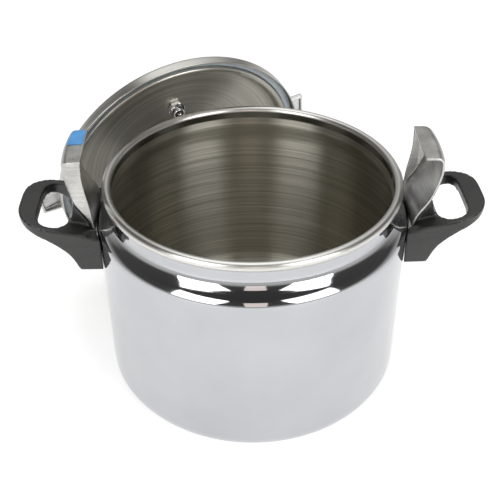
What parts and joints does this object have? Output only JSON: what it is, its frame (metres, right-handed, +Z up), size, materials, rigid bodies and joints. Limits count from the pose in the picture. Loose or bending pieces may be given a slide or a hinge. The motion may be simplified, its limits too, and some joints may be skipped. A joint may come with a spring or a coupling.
{
  "type": "pressure canner",
  "caption": "Deep stainless pressure canner with looped side handles and fixed steel lugs; its domed lid, clamp bar, screw knob and valves stand leaning behind it.",
  "frame": {"origin": "centre of the pot's flat base, on the surface it stands on", "axes": "+X along the line of the two handles, towards the handle on the viewer's right; +Z up; the lid stands on the +Y, -X side"},
  "size_m": [0.418, 0.3647, 0.258],
  "materials": {
    "polished_steel": "mirror polished stainless sheet",
    "brushed_steel": "brushed stainless sheet",
    "lid_steel": "spun, brushed stainless sheet",
    "phenolic": "satin moulded phenolic",
    "silicone": "matt silicone",
    "blue_label": "plain blue sticker, no print"
  },
  "bodies": {
    "pot": {"pot_body": "polished_steel", "right_handle": "phenolic", "right_lug": "brushed_steel", "right_rivet_1": "polished_steel", "right_rivet_2": "polished_steel", "right_handle_screw": "brushed_steel", "left_handle": "phenolic", "left_lug": "brushed_steel", "left_rivet_1": "polished_steel", "left_rivet_2": "polished_steel", "left_handle_screw": "brushed_steel", "capacity_label": "blue_label"},
    "lid": {"lid_shell": "lid_steel", "lid_gasket": "silicone", "vent_pipe": "polished_steel", "vent_nut": "polished_steel", "safety_valve_body": "polished_steel", "safety_valve_nut": "polished_steel", "pressure_pad": "brushed_steel"},
    "screw": {"pressure_screw": "brushed_steel", "screw_knob": "phenolic", "knob_cap": "brushed_steel"},
    "nut": {"bar_nut": "brushed_steel"},
    "bar": {"crossbar": "brushed_steel"},
    "weight": {"regulator_weight": "polished_steel"},
    "pin": {"safety_pin": "polished_steel"}
  },
  "joints": [
    {"name": "lid_lift", "type": "slide", "parent": "pot", "child": "lid", "axis": [0, 0, 1], "range_m": [0, 0.26]},
    {"name": "knob_turn", "type": "hinge", "parent": "lid", "child": "screw", "pos_m": [-0.0654, 0.1338, 0.1284], "axis": [-0.4031, 0.8829, 0.2407], "range_deg": [-720, 0]},
    {"name": "bar_travel", "type": "slide", "parent": "lid", "child": "nut", "axis": [-0.4031, 0.8829, 0.2407], "range_m": [0, 0.0061]},
    {"name": "bar_turn", "type": "hinge", "parent": "nut", "child": "bar", "pos_m": [-0.0654, 0.1338, 0.1284], "axis": [-0.4031, 0.8829, 0.2407], "range_deg": [-50, 50]},
    {"name": "weight_lift", "type": "slide", "parent": "lid", "child": "weight", "axis": [-0.4031, 0.8829, 0.2407], "range_m": [0, 0.025]},
    {"name": "safety_pin_pop", "type": "slide", "parent": "lid", "child": "pin", "axis": [-0.4031, 0.8829, 0.2407], "range_m": [0, 0.003], "stiffness_N_per_m": 200}
  ],
  "couplings": [
    {"joint": "bar_travel", "follows": "knob_turn", "m_per_rad": -0.00047746}
  ]
}
